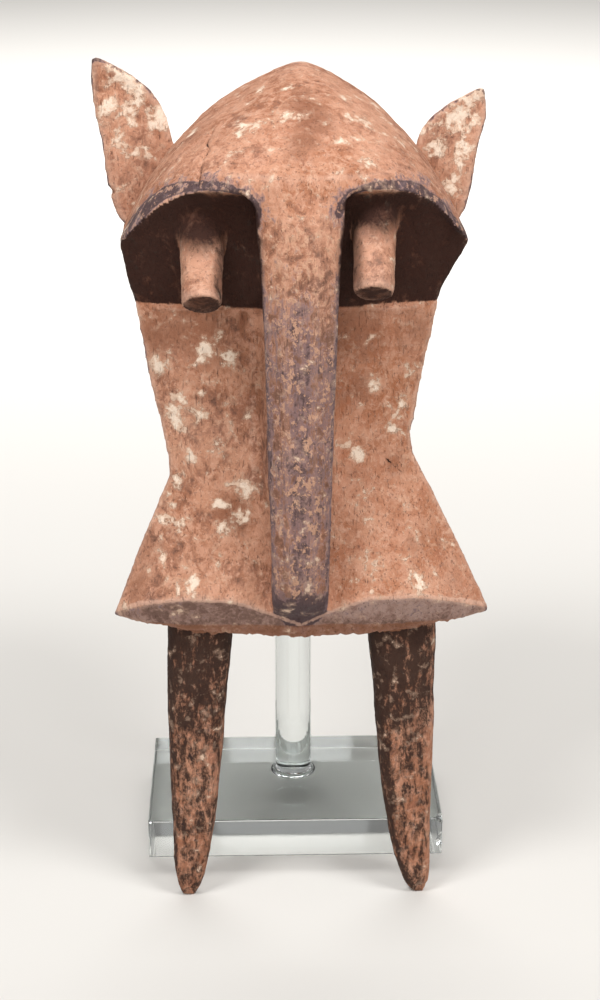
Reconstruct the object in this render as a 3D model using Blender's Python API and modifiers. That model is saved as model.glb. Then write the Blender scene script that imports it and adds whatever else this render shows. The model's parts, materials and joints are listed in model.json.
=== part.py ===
"""A carved wooden elephant mask that stands on its tusks, held up by a clear rod on a clear block.

Metres, +Z up, the face towards -Y and the viewer's right towards +X. The origin is the middle of
the block's underside, on the floor. The mask is one carved piece of wood. Its carving is given in
shares of its height: SHARES of them make the whole height, so at the real height one share is one
millimetre. Walls, fits and the stand are real sizes in metres.
"""

import math

import bmesh
import bpy
from mathutils import Matrix, Vector

# Driving sizes, in metres
MASK_HEIGHT = 0.536
BLOCK_WIDTH = 0.203
BLOCK_DEPTH = 0.127
BLOCK_THICKNESS = 0.028
BLOCK_EDGE = 0.0008
ROD_DIAMETER = 0.0254
ROD_BEHIND = 0.012
ROD_EDGE = 0.0015
SEAT_CLEARANCE = 0.0006
SEAT_DEPTH = 0.005
GAP = 0.0003
CAP_WALL = 0.017
FACE_WALL = 0.016
BOARD_THICKNESS = 0.026

# Carving, in shares of the mask's height
SHARES = 536
SHARE = MASK_HEIGHT / SHARES
LEFT, RIGHT = -1, 1

HEAD_TOP = 535
APEX_X, APEX_Y = 5, -10
HOOD_Z = 441
HOOD_HALF = {LEFT: 107, RIGHT: 104}
DOME_OUTLINE = [
    (0, 0.03),
    (0.06, 0.15),
    (0.13, 0.285),
    (0.27, 0.495),
    (0.41, 0.635),
    (0.61, 0.8),
    (0.78, 0.9),
    (1, 1),
]
HOOD_SIDE_Y = -88
HOOD_FRONT_Y = -139
HOOD_FRONT_DROP = 47
CAP_BACK_Y = 100
CAP_BACK_DROP = 115
BROW_Z = 401
BROW_HALF = {LEFT: 99, RIGHT: 87}
MOUTH_FRONT = (-78, 344)
MOUTH_BACK = (100, 398)

SOCKET_TOP = 480
SOCKET_INNER = 21
SOCKET_OUTER = {LEFT: 102, RIGHT: 98}
SOCKET_DEEP = 1.2
CROWN_INSIDE = 506

WAIST_Z = {LEFT: 294, RIGHT: 312}
WAIST_HALF = {LEFT: 79, RIGHT: 70}
LIP_HALF = {LEFT: 116.5, RIGHT: 123}
BOARD_FRONT_Y = -108
WAIST_FRONT_Y = -107
FLARE_Z = 335
BOARD_CROWN = 13
JAW_BACK_Y = -52

TRUNK_X = 1.4
EAR_Y = 4

# Points round or across each shape
HEAD_SIDES = 44
BOARD_COLUMNS = 28
TUSK_SIDES = 16
EAR_SIDES = 14
EYE_SIDES = 20
SOCKET_COLUMNS = 12

WOOD = ("aged_wood", (0.33, 0.15, 0.075, 1.0), 0.82)
CLEAR = ("clear_acrylic", (0.93, 0.96, 0.95, 1.0), 0.06)


def through(stops, at):
    """The smooth curve through (place, value) stops, level beyond the first and the last."""
    if at <= stops[0][0]:
        return stops[0][1]
    if at >= stops[-1][0]:
        return stops[-1][1]
    rises = [(b[1] - a[1]) / (b[0] - a[0]) for a, b in zip(stops, stops[1:])]

    def slope(k):
        if k == 0 or k == len(rises):
            return rises[min(k, len(rises) - 1)]
        before, after = rises[k - 1], rises[k]
        return 0 if before * after <= 0 else 2 * before * after / (before + after)

    k = next(i for i, rise in enumerate(rises) if at <= stops[i + 1][0])
    span = stops[k + 1][0] - stops[k][0]
    t = (at - stops[k][0]) / span
    return (
        stops[k][1] * (2 * t**3 - 3 * t**2 + 1)
        + stops[k + 1][1] * (3 * t**2 - 2 * t**3)
        + span * (slope(k) * (t**3 - 2 * t**2 + t) + slope(k + 1) * (t**3 - t**2))
    )


def blend(a, b, t):
    return a + (b - a) * t


def power(value, exponent):
    """A signed power, which squares off or sharpens a round section."""
    return math.copysign(abs(value) ** exponent, value)


def clear_scene():
    for obj in list(bpy.data.objects):
        bpy.data.objects.remove(obj, do_unlink=True)


def collection(name):
    made = bpy.data.collections.new(name)
    bpy.context.scene.collection.children.link(made)
    return made


def material(name, colour, roughness, transmission=0.0):
    made = bpy.data.materials.new(name)
    made.use_nodes = True
    shader = made.node_tree.nodes["Principled BSDF"]
    shader.inputs["Base Color"].default_value = colour
    shader.inputs["Roughness"].default_value = roughness
    shader.inputs["Metallic"].default_value = 0.0
    shader.inputs["Transmission Weight"].default_value = transmission
    made.diffuse_color = colour
    return made


def object_from(bm, name, place):
    """A named object in its collection, with its faces turned outwards."""
    bmesh.ops.recalc_face_normals(bm, faces=bm.faces[:])
    mesh = bpy.data.meshes.new(name)
    bm.to_mesh(mesh)
    bm.free()
    made = bpy.data.objects.new(name, mesh)
    place.objects.link(made)
    return made


def loft(name, rings, place, strip_ends=False):
    """A closed skin over rings of the same number of points, given in shares.

    Round ends close on a middle point. strip_ends closes a ring that runs out along the front and
    home along the back by strips between the two.
    """
    bm = bmesh.new()
    rows = [[bm.verts.new(Vector(p) * SHARE) for p in ring] for ring in rings]
    for low, high in zip(rows, rows[1:]):
        for i in range(len(low)):
            j = (i + 1) % len(low)
            bm.faces.new((low[i], low[j], high[j], high[i]))
    for row in (rows[0], rows[-1]):
        if strip_ends:
            last = len(row) - 1
            for i in range(len(row) // 2 - 1):
                bm.faces.new((row[i], row[i + 1], row[last - i - 1], row[last - i]))
            continue
        middle = bm.verts.new(sum((v.co for v in row), Vector()) / len(row))
        for i in range(len(row)):
            bm.faces.new((row[i], row[(i + 1) % len(row)], middle))
    return object_from(bm, name, place)


def round_ring(middle, half, front, back, z, sides, squareness=2.0, front_squareness=None):
    """A level ring round a middle line: its own half width on each side, its own front and back."""
    ring = []
    for i in range(sides):
        turn = 2 * math.pi * i / sides
        square = front_squareness if front_squareness and math.cos(turn) > 0 else squareness
        across = power(math.sin(turn), 2 / square)
        along = power(math.cos(turn), 2 / square)
        side = RIGHT if across > 0 else LEFT
        reach = middle[1] - front if along > 0 else back - middle[1]
        ring.append((middle[0] + half[side] * across, middle[1] - reach * along, z))
    return ring


def combine(target, tool, operation):
    change = target.modifiers.new(f"{operation.lower()} {tool.name}", "BOOLEAN")
    change.operation = operation
    change.solver = "EXACT"
    change.object = tool
    tool.hide_render = True
    tool.display_type = "WIRE"


def head_section(z):
    """The middle, half widths, front and back of the head at a height: dome, hood, then the cap."""
    drop = max(HEAD_TOP - z, 0)
    if z >= HOOD_Z:
        grow = through(DOME_OUTLINE, drop / (HEAD_TOP - HOOD_Z))
        half = {side: HOOD_HALF[side] * grow for side in (LEFT, RIGHT)}
        middle = (APEX_X * (1 - grow), blend(APEX_Y, HOOD_SIDE_Y, grow**2))
    else:
        half = {}
        for side in (LEFT, RIGHT):
            stops = [(330, 76), (375, 84), (BROW_Z, BROW_HALF[side]), (HOOD_Z, HOOD_HALF[side])]
            half[side] = through(stops, z)
        middle = (0, through([(330, -20), (375, -50), (BROW_Z, -80), (HOOD_Z, HOOD_SIDE_Y)], z))
    front_grow = min(math.sqrt(drop / HOOD_FRONT_DROP), 1)
    front = blend(APEX_Y, HOOD_FRONT_Y, front_grow)
    if z < HOOD_Z:
        front = through([(330, -86), (380, -88), (BROW_Z, -108), (HOOD_Z, HOOD_FRONT_Y)], z)
    back_grow = min(math.sqrt(drop / CAP_BACK_DROP), 1)
    back = blend(APEX_Y, CAP_BACK_Y, back_grow)
    return middle, half, front, back


def head_heights():
    """Close rings at the crown, where the dome turns quickly, one on the rim, and wider ones below."""
    steps = 12
    drops = [((k + 0.35) / (steps + 0.35)) ** 2 for k in range(steps + 1)]
    dome = [HEAD_TOP - (HEAD_TOP - HOOD_Z) * drop for drop in drops]
    rim = HEAD_TOP - HOOD_FRONT_DROP
    dome[dome.index(min(dome, key=lambda z: abs(z - rim)))] = rim
    return dome + [431, 421, 411, BROW_Z, 388, 370, 350, 330]


def make_head(place):
    """The domed forehead with its hood in front and the cap behind, before it is hollowed."""
    rings = []
    for z in head_heights():
        middle, half, front, back = head_section(z)
        hood = through([(HOOD_Z, 3.1), (HEAD_TOP - HOOD_FRONT_DROP, 2.7), (HEAD_TOP - 20, 2.2)], z)
        rings.append(round_ring(middle, half, front, back, z, HEAD_SIDES, 2.35, hood))
    return loft("head", rings, place)


def make_mouth_cutter(place):
    """A block whose sloping top trims the cap's rim, higher at the back than at the face."""
    run, rise = MOUTH_BACK[0] - MOUTH_FRONT[0], MOUTH_BACK[1] - MOUTH_FRONT[1]
    slope = rise / run
    front, back = MOUTH_FRONT[0] - 30, MOUTH_BACK[0] + 60
    rings = []
    for y in (front, back):
        top = MOUTH_FRONT[1] + slope * (y - MOUTH_FRONT[0])
        rings.append([(-160, y, 250), (160, y, 250), (160, y, top), (-160, y, top)])
    return loft("mouth_cutter", rings, place)


def make_hollow(place):
    """What is taken out of the cap, so that a wall is left behind the face and round the back."""
    wall = CAP_WALL / SHARE
    behind_sockets = BOARD_FRONT_Y + SOCKET_DEEP + FACE_WALL / SHARE
    behind_board = WAIST_FRONT_Y + BOARD_THICKNESS / SHARE + 2
    rings = []
    for z in [CROWN_INSIDE, 501, 494, 484, 472, 456, 440, 425, 410, 395, 380, 360, 340, 320]:
        here, above = head_section(z), head_section(z + wall)
        upright = wall * through([(440, 1), (490, 0.6)], z)
        half = {side: min(here[1][side], above[1][side]) - upright for side in (LEFT, RIGHT)}
        front = max(above[2] + upright, through([(380, behind_board), (405, behind_sockets)], z))
        back = min(here[3], above[3]) - upright
        middle = (above[0][0], blend(front, back, 0.42))
        rings.append(round_ring(middle, half, front, back, z, HEAD_SIDES - 8, 2.2))
    return loft("cap_hollow", rings, place)


def make_socket(side, place):
    """The cove under the hood on one side: deepest at the rim, and running down into the board."""
    outline = [  # height, inner and outer edge as shares, depth behind the board's front, outer wall
        (BROW_Z - 0.4, 0.0, 1.14, SOCKET_DEEP, 0),
        (404, 0.0, 1.14, SOCKET_DEEP / 2, 0),
        (408, 0.0, 1.14, -0.4, 0),
        (415, 0.0, 1.14, -2.2, 0),
        (427, 0.0, 1.14, -5.2, 0),
        (437, 0.0, 1.13, -7.7, 0),
        (443, 0.0, 1.08, -9.2, 0.4),
        (450, 0.01, 0.97, -10.8, 1),
        (458, 0.02, 0.885, -13, 1),
        (466, 0.03, 0.8, -16.2, 1),
        (473, 0.07, 0.69, -20.5, 1),
        (477.5, 0.14, 0.58, -26, 1),
        (SOCKET_TOP, 0.28, 0.43, -31, 1),
    ]
    clear = 14
    rings = []
    for z, inner, outer, depth, wall in outline:
        width = SOCKET_OUTER[side] - SOCKET_INNER
        near, far = SOCKET_INNER + inner * width, SOCKET_INNER + outer * width
        back_row = []
        for k in range(SOCKET_COLUMNS + 1):
            share = (1 - math.cos(math.pi * k / SOCKET_COLUMNS)) / 2
            x = blend(near, far, share)
            bowl = (1 - abs(2 * share - 1) ** 3.5) ** 0.55
            raised = max(clear + depth, 0) * (1 - bowl) * (wall if share > 0.5 else 1)
            board = BOARD_FRONT_Y + BOARD_CROWN * (x / BROW_HALF[side]) ** 2
            back_row.append((side * x, board + depth - raised, z))
        front_row = [(x, -190, z) for x, y, z in reversed(back_row)]
        rings.append(back_row + front_row)
    name = "socket_left" if side == LEFT else "socket_right"
    return loft(name, rings, place, strip_ends=True)


def board_half(side, z):
    """The board's half width: straight from the brow in to the waist, and out again to the lip."""
    if z >= WAIST_Z[side]:
        t = (z - WAIST_Z[side]) / (BROW_Z - WAIST_Z[side])
        return blend(WAIST_HALF[side], BROW_HALF[side], t)
    t = (WAIST_Z[side] - z) / (WAIST_Z[side] - 205)
    return blend(WAIST_HALF[side], LIP_HALF[side], t)


def board_front(share, z, crest_z):
    """How far forward the board's face stands at a share of its half width and a height."""
    flat = through([(WAIST_Z[LEFT], WAIST_FRONT_Y), (BROW_Z, BOARD_FRONT_Y)], z) + BOARD_CROWN * share**2
    lobe = through([(0, -128), (0.15, -130), (0.55, -135), (0.85, -127), (1, -115)], share)
    flare = max(0, 1 - (z - crest_z) / (FLARE_Z - crest_z)) ** 2.0
    return blend(flat, lobe, flare)


def make_board(place):
    """The face board with its hourglass outline, two bulging lobes at the lip and the bevel below."""
    crest = [(0, 202), (0.13, 210), (0.36, 221), (0.6, 223.5), (0.85, 217), (1, 208)]
    bottom = [(0, 190.5), (0.3, 192), (0.6, 196.5), (1, 203.5)]
    setback = [(0, 6), (0.3, 12), (0.6, 14), (0.9, 7), (1, 3)]
    rows_up = 15
    rings = []
    for row in range(-1, rows_up + 1):
        rise = max(row, 0) / rows_up
        front, back = [], []
        for column in range(BOARD_COLUMNS + 1):
            across = 2 * column / BOARD_COLUMNS - 1
            side, share = (RIGHT if across > 0 else LEFT), abs(across)
            crest_z = through(crest, share)
            if row < 0:
                z = through(bottom, share)
                y = board_front(share, crest_z, crest_z) + through(setback, share)
            else:
                z = blend(crest_z, BROW_Z, rise**1.1)
                y = board_front(share, z, crest_z)
            half = board_half(side, max(z, 203.5 + 3 * side))
            front.append((side * half * share, y, z))
            thick = BOARD_THICKNESS / SHARE
            jaw = [(196, JAW_BACK_Y), (225, JAW_BACK_Y - 4), (262, -68), (296, WAIST_FRONT_Y + thick)]
            back_y = through(jaw, z)
            back_half = half - through([(200, 16), (260, 8), (300, 4)], z)
            back.append((side * back_half * share, back_y, max(z, 196)))
        rings.append(front + back[::-1])
    tuck = [(x * 0.9, blend(y, -84, 0.8), z + 16) for x, y, z in rings[-1]]
    return loft("face_board", rings + [tuck], place, strip_ends=True)


def make_trunk(place):
    """The trunk: a flat strip down its front between two facets, thin at the rounded tip."""
    front_line = [(206, -123), (210, -133), (215, -140), (224, -146), (240, -150), (262, -152), (400, -152)]
    front_line += [(430, -150), (455, -146.5), (475, -142.3), (487, -139.8), (499, -119), (516, -80)]
    half_line = [(206, 9), (209, 13.5), (213, 16), (220, 17.2), (250, 17.8), (357, 20.4), (430, 23)]
    half_line += [(455, 25), (472, 26.5), (490, 23), (516, 12)]
    back_line = [(206, -115), (226, -122), (250, -121), (285, -118), (470, -112), (499, -92), (516, -70)]
    rings = []
    heights = [206, 208, 210, 213, 217, 222, 230, 242, 256, 276, 300, 325, 350, 375, 400]
    for z in heights + [420, 438, 454, 466, 476, 487, 499, 508, 516]:
        half, front, back = (through(line, z) for line in (half_line, front_line, back_line))
        facet = 0.24 * (back - front)
        corner = 0.62 * (back - front)
        profile = [
            (-0.42 * half, front + 0.7),
            (0, front),
            (0.42 * half, front + 0.7),
            (half, front + facet),
            (half, front + corner),
            (0.72 * half, back),
            (-0.72 * half, back),
            (-half, front + corner),
            (-half, front + facet),
        ]
        rings.append([(TRUNK_X + x, y, z) for x, y in profile])
    return loft("trunk", rings, place)


def make_web(place):
    """The fin that carries the trunk on the board, wider where it meets the board."""
    stops = [(276, 0.55, 0.35), (279, 0.85, 0.7), (284, 1, 1), (330, 1, 1), (400, 1, 1), (470, 1, 1)]
    rings = []
    for z, width, reach in stops:
        front = blend(-104, -132, reach)
        rings.append(
            [
                (TRUNK_X - 17 * width, front, z),
                (TRUNK_X + 17 * width, front, z),
                (TRUNK_X + 21 * width, -112, z),
                (TRUNK_X + 27 * width, -92, z),
                (TRUNK_X - 28 * width, -92, z),
                (TRUNK_X - 22 * width, -112, z),
            ]
        )
    return loft("trunk_web", rings, place)


def make_eye(side, place):
    """A tapered eye that hangs forwards out of its socket, cut flat at its end."""
    end = Vector((-56.5, -145, 414)) if side == LEFT else Vector((44, -145, 420))
    root = Vector((-56.5, -104, 456.5)) if side == LEFT else Vector((46.5, -107, 469))
    bm = bmesh.new()
    bmesh.ops.create_cone(
        bm,
        cap_ends=True,
        segments=EYE_SIDES,
        radius1=11.7 * SHARE,
        radius2=14 * SHARE,
        depth=(root - end).length * SHARE,
    )
    turn = Vector((0, 0, 1)).rotation_difference(root - end).to_matrix().to_4x4()
    place_there = Matrix.Translation((root + end) / 2 * SHARE) @ turn
    bmesh.ops.transform(bm, matrix=place_there, verts=bm.verts[:])
    return object_from(bm, "eye_left" if side == LEFT else "eye_right", place)


def make_tusk(side, place):
    """A tusk out of the jaw, tapering to a small flat that stands on the floor."""
    line = [(0, 72.5), (50, 68.5), (118, 65.8), (180, 62.5), (225, 61)]
    if side == RIGHT:
        line = [(0, 81), (30, 76.5), (86, 72), (148, 69.3), (225, 66)]
    top_half = 20.6 if side == LEFT else 21.4
    rings = []
    for z in [0, 3, 8, 16, 28, 45, 70, 100, 135, 175, 215]:
        half = max(top_half * min(z / 180, 1) ** 0.3, 4)
        depth = max(19.5 * min(z / 180, 1) ** 0.33, 4)
        middle = (side * through(line, z), through([(0, -109), (90, -103), (215, -96)], z))
        halves = {LEFT: half, RIGHT: half}
        front, back = middle[1] - depth, middle[1] + depth
        rings.append(round_ring(middle, halves, front, back, z, TUSK_SIDES, 3.3))
    return loft("tusk_left" if side == LEFT else "tusk_right", rings, place)


def make_ear(side, place):
    """A leaf-shaped ear beside the dome, hollowed in front, with a rounded edge."""
    top, wide = (536, 47) if side == LEFT else (516, 42)
    outer = [(398, 82), (416, 97), (437, 115), (490, 125), (526, 131), (536, 131)]
    if side == RIGHT:
        outer = [(398, 80), (416, 96), (437, 112), (480, 121), (505, 127), (516, 127)]
    widest_z = 472 if side == LEFT else 464
    rings = []
    for k in range(15):
        z = blend(398, top, 1 - (1 - k / 14) ** 1.25)
        edge = through(outer, z)
        rise = max(0, (z - widest_z) / (top + 0.4 - widest_z))
        half = max(wide * (1 - rise**4.2) / 2 * through([(398, 0.3), (430, 0.75), (465, 1)], z), 1.6)
        lean = through([(widest_z, 0), (top, 4)], z) * rise
        middle = (side * (edge - half - lean), EAR_Y + 0.03 * (z - 430))
        thick = through([(430, 12), (480, 11), (top, 7)], z) / 2
        hollow = min(4.5, 0.24 * half)
        ring = []
        for i in range(EAR_SIDES):
            turn = 2 * math.pi * i / EAR_SIDES
            across, along = power(math.sin(turn), 0.85), power(math.cos(turn), 0.85)
            bow = hollow * (1 - across**2)
            ring.append((middle[0] + half * across, middle[1] - thick * along + bow, z))
        rings.append(ring)
    return loft("ear_left" if side == LEFT else "ear_right", rings, place)


def rod_top():
    """Where the rod meets its seat, drilled a little way up into the wood of the crown."""
    return CROWN_INSIDE * SHARE + SEAT_DEPTH


def cylinder(name, diameter, low, high, place, sides=48):
    bm = bmesh.new()
    bmesh.ops.create_cone(
        bm, cap_ends=True, segments=sides, radius1=diameter / 2, radius2=diameter / 2, depth=high - low
    )
    bmesh.ops.translate(bm, vec=(0, 0, (low + high) / 2), verts=bm.verts[:])
    made = object_from(bm, name, place)
    made.location = (0, ROD_BEHIND, 0)
    return made


def bevel(obj, width):
    edge = obj.modifiers.new("edge", "BEVEL")
    edge.width = width
    edge.segments = 2
    edge.limit_method = "ANGLE"


def make_block(place):
    bm = bmesh.new()
    bmesh.ops.create_cube(bm, size=1)
    size = Vector((BLOCK_WIDTH, BLOCK_DEPTH, BLOCK_THICKNESS))
    bmesh.ops.scale(bm, vec=size, verts=bm.verts[:])
    bmesh.ops.translate(bm, vec=(0, 0, BLOCK_THICKNESS / 2), verts=bm.verts[:])
    block = object_from(bm, "stand_block", place)
    bevel(block, BLOCK_EDGE)
    return block


def make_mask(parts, tools):
    mask = make_head(parts)
    mask.name = mask.data.name = "mask"
    combine(mask, make_mouth_cutter(tools), "DIFFERENCE")
    combine(mask, make_board(tools), "UNION")
    for side in (LEFT, RIGHT):
        combine(mask, make_ear(side, tools), "UNION")
        combine(mask, make_tusk(side, tools), "UNION")
    combine(mask, make_hollow(tools), "DIFFERENCE")
    for side in (LEFT, RIGHT):
        combine(mask, make_socket(side, tools), "DIFFERENCE")
    combine(mask, make_web(tools), "UNION")
    combine(mask, make_trunk(tools), "UNION")
    for side in (LEFT, RIGHT):
        combine(mask, make_eye(side, tools), "UNION")
    seat_width = ROD_DIAMETER + 2 * SEAT_CLEARANCE
    seat = cylinder("rod_seat", seat_width, rod_top() - 0.06, rod_top() + GAP, tools)
    combine(mask, seat, "DIFFERENCE")
    mask.data.shade_smooth()
    mask.data.set_sharp_from_angle(angle=math.radians(26))
    return mask


def main():
    clear_scene()
    parts = collection("elephant_mask")
    tools = collection("carving_tools")
    wood = material(*WOOD)
    clear = material(*CLEAR, transmission=1.0)
    mask = make_mask(parts, tools)
    rod = cylinder("stand_rod", ROD_DIAMETER, BLOCK_THICKNESS + GAP, rod_top(), parts)
    rod.data.shade_smooth()
    rod.data.set_sharp_from_angle(angle=math.radians(38))
    bevel(rod, ROD_EDGE)
    block = make_block(parts)
    for obj, finish in ((mask, wood), (rod, clear), (block, clear)):
        obj.data.materials.append(finish)


main()
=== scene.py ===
"""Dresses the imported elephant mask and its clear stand: carved wood, stain, clay, cracks and acrylic.

Everything is in metres in the model's own frame: +Z up, the face towards -Y, the origin under the
middle of the clear block. Sizes in the panel are in real millimetres where a user would think so.
"""

import json
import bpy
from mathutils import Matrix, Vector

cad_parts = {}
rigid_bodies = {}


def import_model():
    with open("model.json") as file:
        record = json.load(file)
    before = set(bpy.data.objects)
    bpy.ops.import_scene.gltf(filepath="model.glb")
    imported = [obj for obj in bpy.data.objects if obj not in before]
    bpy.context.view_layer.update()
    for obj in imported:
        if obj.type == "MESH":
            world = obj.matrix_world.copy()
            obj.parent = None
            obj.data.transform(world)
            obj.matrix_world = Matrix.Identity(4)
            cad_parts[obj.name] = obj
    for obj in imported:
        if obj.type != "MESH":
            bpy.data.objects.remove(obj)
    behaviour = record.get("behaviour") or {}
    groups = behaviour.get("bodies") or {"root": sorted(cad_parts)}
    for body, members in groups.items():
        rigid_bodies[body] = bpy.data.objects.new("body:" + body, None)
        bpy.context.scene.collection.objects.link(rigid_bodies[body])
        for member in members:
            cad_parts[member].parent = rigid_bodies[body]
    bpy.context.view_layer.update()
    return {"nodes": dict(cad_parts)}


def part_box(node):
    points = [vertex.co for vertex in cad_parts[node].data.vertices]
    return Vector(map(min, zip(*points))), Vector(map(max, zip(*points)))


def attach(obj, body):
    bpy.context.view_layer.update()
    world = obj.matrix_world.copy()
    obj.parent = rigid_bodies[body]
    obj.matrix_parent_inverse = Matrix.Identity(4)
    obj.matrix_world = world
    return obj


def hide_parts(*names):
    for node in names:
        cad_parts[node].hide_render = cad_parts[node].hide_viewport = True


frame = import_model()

from types import SimpleNamespace

import bmesh
import bpy
import numpy as np
from mathutils import Vector, noise

bl_info = {
    "name": "Elephant Mask Dresser",
    "version": (1, 0, 0),
    "blender": (4, 5, 0),
    "location": "View3D > Sidebar > Mask",
    "description": "Carves, stains and lights a wooden elephant mask on its clear stand",
    "category": "Object",
}

MM = 0.001

# Places on the carving, in millimetres. Lines with two numbers a stop run across and up
RIM_LEFT = [(-23.5, 466), (-26.5, 473), (-32, 477.5), (-43.5, 480.5), (-56, 480.5), (-68, 478),
            (-77, 473.5), (-86, 466.5), (-93, 458.5), (-100, 450.5), (-107, 443)]
RIM_RIGHT = [(23.5, 466), (26.5, 473), (32, 477.5), (42.5, 480.5), (54, 480.5), (65.5, 478),
             (74, 473.5), (82.5, 466.5), (89, 458.5), (95.5, 450.5), (104, 443)]
LIP_LEFT = [(-115, 208), (-98, 217), (-70, 223), (-42, 221), (-15, 210), (2, 202)]
LIP_RIGHT = [(2, 202), (18, 211), (45, 222), (74, 224), (102, 217), (121, 209)]

# Lines with three numbers a stop run across, forwards and up
DOME_CRACK = [(-58, -129, 478), (-57, -120, 487), (-57, -112, 492), (-52, -100, 497), (-53, -89, 500),
              (-49, -78, 504)]
BOARD_CRACK = [(-45, -112, 274), (-41, -114, 267), (-34, -116, 263)]
WAIST_CRACK = [(55, -102, 304), (61, -102, 298), (69, -102, 292)]
WEB_GROOVE = [(-33, -108, 398), (-35, -110, 340), (-33, -112, 292)]
EYE_LEFT = [(-56.5, -145, 414), (-56.5, -104, 456.5)]
EYE_RIGHT = [(44, -145, 420), (46.5, -107, 469)]
EYE_REACH = 17  # how far an eye's skin lies from its middle line, at most

# Each split with its width and its depth
CRACKS = [(DOME_CRACK, 1.2, 1.8), (BOARD_CRACK, 1.3, 0.8), (WAIST_CRACK, 0.9, 0.3)]

# The trunk: its middle across, then heights with half its width, and heights with how far its face is
TRUNK_MIDDLE = 1.4
TRUNK_HALF = ((203, 209, 213, 220, 250, 357, 430, 455, 472),
              (8, 13.5, 16, 17.5, 18, 20.6, 23.2, 25.2, 26.7))
TRUNK_FACE = ((204, 210, 222, 245, 300), (122, 128, 136, 128, 120))

# Chips in the wood: where, how large, and how they are turned in radians
CHIPS = [
    ((-58, -137, 479), (3.6, 9, 5.5), (0, 0.15, 0)),  # the notch in the left rim, where the split starts
    ((-118, 0, 451), (3.5, 8, 4), (0, 0.5, 0)),  # the left ear's outer edge
    ((86, -116, 3), (5, 6, 5), (0, 0.5, 0)),  # the right tusk's tip
    ((-94, -105, 205), (4, 5, 3), (0.2, 0, 0.3)),  # the lip's lower edge, left
    ((48, -118, 190), (6, 4, 2.5), (0, 0.1, 0.2)),  # the lip's lower edge, right
]
HIDDEN_SHARE = 0.1  # how much of the skin's faces the hidden sides keep

# Traces of white clay: where, and how far each spreads
CLAY = [
    (-109, 6, 525, 9), (-116, 5, 509, 8), (-97, 6, 509, 10), (-84, 5, 500, 9), (-111, 4, 484, 6),
    (-114, 5, 529, 6), (-105, 6, 519, 8), (-90, 5, 505, 8), (-121, 5, 496, 5), (-101, 5, 494, 4),
    (113, 5, 509, 9), (102, 5, 493, 9), (96, 5, 486, 10), (88, 4, 489, 7), (107, 4, 469, 6),
    (106, 3, 456, 7), (109, 5, 503, 8), (118, 4, 500, 5), (91, 4, 481, 6), (112, 5, 480, 5),
    (-29, -94, 509, 8), (-7, -97, 513, 6), (-5, -62, 526, 5), (39, -87, 510, 8), (39, -109, 501, 6),
    (26, -112, 503, 4), (41, -123, 493, 6), (37, -134, 488, 5), (50, -35, 512, 9), (55, -60, 509, 6),
    (-62, -60, 500, 5), (-20, -45, 526, 4), (64, -80, 496, 5), (30, -60, 522, 5), (-40, -118, 497, 4),
    (-36, -102, 418, 9), (-30, -109, 439, 9), (-99, -93, 439, 8), (-88, -98, 452, 6), (-80, -96, 415, 5),
    (-70, -99, 332, 10), (-48, -104, 315, 5), (-65, -101, 305, 4), (-72, -101, 288, 8), (-67, -104, 287, 6),
    (-75, -102, 282, 7), (-36, -110, 287, 9), (-49, -111, 278, 6), (-83, -105, 264, 6), (-71, -111, 263, 5),
    (-86, -115, 243, 5), (-64, -129, 233, 9), (-56, -103, 374, 7), (-84, -97, 364, 8), (-40, -105, 368, 6),
    (-74, -98, 345, 6), (-46, -112, 262, 7), (-58, -101, 350, 4), (-78, -103, 275, 5), (-35, -113, 270, 5),
    (63, -98, 335, 8), (60, -99, 321, 5), (30, -106, 313, 5), (35, -106, 308, 6), (42, -111, 283, 5),
    (43, -115, 269, 5), (93, -108, 251, 4), (50, -126, 239, 6), (76, -128, 231, 8), (70, -110, 272, 4),
    (48, -102, 350, 5), (72, -97, 360, 5), (-52, -124, 442, 5), (52, -122, 448, 5),
]

# Brown smears: where, how far each spreads, how strong. Most are where hands and smoke have darkened the
# face; those 385 mm up darken the top of the board just under the hood
SMEARS = [
    (3, -72, 524, 11, 0.6), (6, -86, 519, 14, 0.85), (9, -100, 512, 16, 0.85), (5, -113, 505, 13, 0.75),
    (1, -124, 498, 11, 0.6), (-60, -70, 500, 22, 0.45), (60, -100, 490, 20, 0.35),
    (-60, -100, 385, 30, 0.75), (-84, -96, 385, 20, 0.7), (-32, -106, 340, 17, 0.6),
    (40, -105, 385, 26, 0.8), (70, -98, 385, 22, 0.6), (36, -105, 350, 18, 0.7),
    (-40, -112, 271, 13, 1.0), (-90, -108, 245, 20, 0.45), (-60, -120, 250, 22, 0.35),
    (80, -112, 250, 24, 0.45), (38, -110, 295, 12, 0.5), (60, -100, 300, 12, 0.6),
    (-52, -103, 345, 16, 0.5), (100, -112, 225, 16, 0.5), (-100, -114, 222, 16, 0.55),
    (-45, -60, 519, 15, 0.3),
]

# The finishes, painted shade and painted highlights that the wood's material reads from its skin
FIELDS = ("stain", "clay", "smear_and_shade", "proud", "crack", "tusk", "trunk", "soot_and_shade", "crest_highlight", "bevel", "torn",
          "mottle", "bloom_and_highlight")

# The section of the cement ring: how far out and how far up, as shares of its width
RING_SECTION = [(0.0, 0.85), (0.18, 0.48), (0.42, 0.2), (0.7, 0.06), (1.0, 0.0), (0.5, -0.04)]
RING_GAP = 0.0002  # between the rod's skin and the ring's, in metres
RING_LIFT = 0.0003  # between the block's top and the ring's underside, in metres
FROST = 0.8  # the grain of the sawn acrylic, in millimetres

# The floor, in metres: its size, and the gap that keeps its face apart from the block's underside
FLOOR_SIZE = 40
FLOOR_GAP = 0.0002

# The photograph's camera, in metres and millimetres of lens
CAMERA_PLACE = (-0.0289, -1.2807, 0.708)
CAMERA_LOOK = (0.0246, 0.9388, -0.3437)
CAMERA_LENS = 72
CAMERA_SENSOR = 36


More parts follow.
